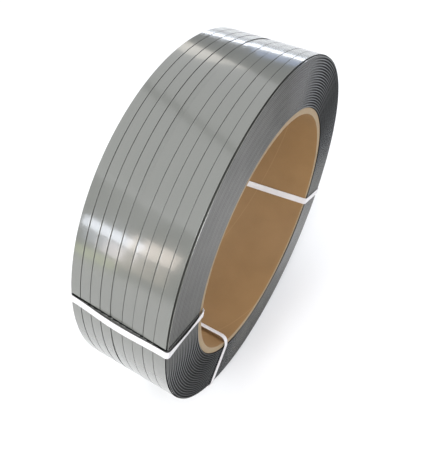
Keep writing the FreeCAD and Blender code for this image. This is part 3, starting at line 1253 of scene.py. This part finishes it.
@dataclass(frozen=True)
class Studio:
    """Pale floor, soft light and the camera."""

    camera_place: tuple[float, float, float] = (-0.49663, -0.26697, 0.62018)
    # Heading is counted from +Y towards +X, dip is below the horizon.
    camera_heading_deg: float = 59.378
    camera_dip_deg: float = 48.591
    lens_mm: float = 39.5
    sensor_mm: float = 36.0
    floor_half: float = 8.0
    floor_hex: str = "#f6f6f5"
    sky_hex: str = "#c3cad6"
    sky_strength: float = 0.27
    overhead_height: float = 3.0
    overhead_heading_deg: float = 43.5

    def build_camera(self) -> None:
        """Make the camera and point it."""
        data = bpy.data.cameras.new("camera")
        data.lens = self.lens_mm
        data.sensor_width = self.sensor_mm
        camera = bpy.data.objects.new("camera", data)
        bpy.context.scene.collection.objects.link(camera)
        heading, dip = math.radians(self.camera_heading_deg), math.radians(self.camera_dip_deg)
        right = Vector((math.cos(heading), -math.sin(heading), 0.0))
        forward = Vector((math.sin(heading) * math.cos(dip), math.cos(heading) * math.cos(dip),
                          -math.sin(dip)))
        turned = Matrix((right, right.cross(forward), -forward)).transposed()
        camera.matrix_world = Matrix.Translation(self.camera_place) @ turned.to_4x4()
        bpy.context.scene.camera = camera

    def build_floor(self, height: float) -> None:
        """Make the floor as one flat square.

        Args:
            height: Height of the floor, where the roll rests.
        """
        side = self.floor_half
        corners = [(-side, -side, height), (side, -side, height), (side, side, height),
                   (-side, side, height)]
        mesh = bpy.data.meshes.new("floor")
        mesh.from_pydata(corners, [], [(0, 1, 2, 3)])
        material, tree, output = new_material("matt_paper_floor")
        paper = add_node(tree, "ShaderNodeBsdfDiffuse", {"Color": linear(self.floor_hex)})
        tree.links.new(paper.outputs["BSDF"], output.inputs["Surface"])
        mesh.materials.append(material)
        floor = bpy.data.objects.new("floor", mesh)
        bpy.context.scene.collection.objects.link(floor)
        floor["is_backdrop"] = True

    def build_light(self) -> None:
        """Make the even sky and the soft boxes."""
        world = bpy.data.worlds.new("studio_sky")
        bpy.context.scene.world = world
        world.use_nodes = True
        background = world.node_tree.nodes["Background"]
        background.inputs["Color"].default_value = linear(self.sky_hex)
        background.inputs["Strength"].default_value = self.sky_strength
        heading = math.radians(self.overhead_heading_deg)
        along = Vector((math.cos(heading), math.sin(heading), 0.0))
        across = Vector((math.sin(heading), -math.cos(heading), 0.0))

        def overhead(name: str, low: float, high: float, radiance: float) -> SoftBox:
            """Overhead light between two distances across the studio."""
            place = along * 1.5 + across * (low + high) / 2.0
            return SoftBox(name, (place.x, place.y, self.overhead_height), (0.0, 0.0, -1.0),
                           9.0, high - low, radiance, "#fdfeff", self.overhead_heading_deg)

        front = (-0.23, 0.03, 0.17)
        top = (0.06, 0.0, 0.28)
        end = (0.0, -0.077, 0.2)
        boxes = (
            overhead("overhead_right", -0.76, 1.25, 0.98),
            overhead("overhead_left", -4.2, -0.92, 1.05),
            SoftBox("overhead_warm", tuple(along * 5.5 + across * 0.88
                                           + Vector((0.0, 0.0, self.overhead_height - 0.1))),
                    (0.0, 0.0, -1.0), 3.2, 0.74, 1.7, "#fff6e8", self.overhead_heading_deg),
            SoftBox.seen_from("wall_left", front, 135.0, 29.0, 3.3, 1.8, 1.1, 0.5, "#f6f8fa"),
            SoftBox.seen_from("window_upper", front, 149.0, 12.6, 3.0, 0.52, 0.3, 10.0,
                              "#f0f5ff"),
            SoftBox.seen_from("window_lower", front, 151.8, 4.6, 3.0, 0.24, 0.4, 5.5, "#f8f0f4"),
            SoftBox.seen_from("window_pane", front, 147.8, 5.2, 3.0, 0.18, 0.3, 2.2, "#c8d4e6"),
            SoftBox.seen_from("window_warm", front, 156.8, 14.5, 3.0, 0.34, 0.5, 6.0, "#fff0e2"),
            SoftBox.seen_from("lawn", front, 149.0, -4.0, 3.0, 0.42, 0.3, 2.4, "#dfeaa8"),
            SoftBox.seen_from("pavement", front, 156.0, 3.0, 3.0, 0.4, 0.55, 1.8, "#f4e4cc"),
            SoftBox.seen_from("window_front", front, 194.0, 40.0, 3.0, 2.4, 1.5, 5.2, "#fbfcff"),
            SoftBox.seen_from("window_behind", top, 22.0, 5.5, 3.2, 0.9, 0.22, 6.0, "#eef4ff"),
            SoftBox.seen_from("sky_behind", top, 18.0, 13.5, 3.2, 0.5, 0.4, 1.0, "#a8c2f4"),
            SoftBox.seen_from("wall_behind", top, 22.0, -3.3, 3.25, 2.4, 0.7, 0.8, "#eef2f8"),
            SoftBox.seen_from("window_right", end, -25.0, 14.0, 3.0, 1.6, 0.9, 5.5, "#eaf0fc"),
            SoftBox.seen_from("wall_right", end, -62.0, 24.0, 3.0, 1.6, 1.2, 3.5, "#fff6f4"),
        )
        for box in boxes:
            box.build()


# ---------------------------------------------------------------- whole roll


def main() -> None:
    """Build the roll's pieces in order, then the studio."""
    logging.basicConfig(level=logging.INFO, format="%(name)s: %(message)s")
    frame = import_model()
    cad_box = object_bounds()
    sizes = RollSizes.from_frame(frame["record"])

    strap = StrapFinish().build()
    edges = StrapEdgeFinish().build()
    board = KraftBoardFinish().build()
    cut_board = KraftBoardFinish("cut_kraft_board_edge", "#a28c6b", "#927c5b", "#ad9877",
                                 speckle=0.6).build()
    band = TieBandFinish().build()
    # Near-black painted shade for the deepest faces of the creases.
    gap = PaintedShadeFinish().build()

    front_crease = Crease(166.85, 0.4, -1.4, width_mm=2.4)
    end_creases = (Crease(166.1, 0.4, 0.4, width_mm=2.6), Crease(228.5, 0.3, 0.3, width_mm=2.6))
    WoundCoil(sizes, (front_crease,), end_creases).build(strap, edges, gap)
    OuterLanes(sizes, (front_crease,)).build(strap, edges, gap)
    PaperCore(sizes).build(board, cut_board)
    for tie in (
        TieBand(sizes, "tie_band_front", 0.4, -1.4, 3.2, 0.0, near_twist_deg=-13.0, bend_mm=5.0),
        TieBand(sizes, "tie_band_low", 0.3, 3.5, 0.6, 4.5, 6.5, 14.0, 3.0),
        TieBand(sizes, "tie_band_rear", 0.8, -2.2, 0.6, 1.0),
    ):
        tie.build(band)

    studio = Studio()
    studio.build_camera()
    studio.build_floor(cad_box[0].z)
    studio.build_light()
    bpy.context.scene.view_settings.view_transform = "Standard"

    LOG.info("sizes written")


if __name__ == "__main__":
    main()
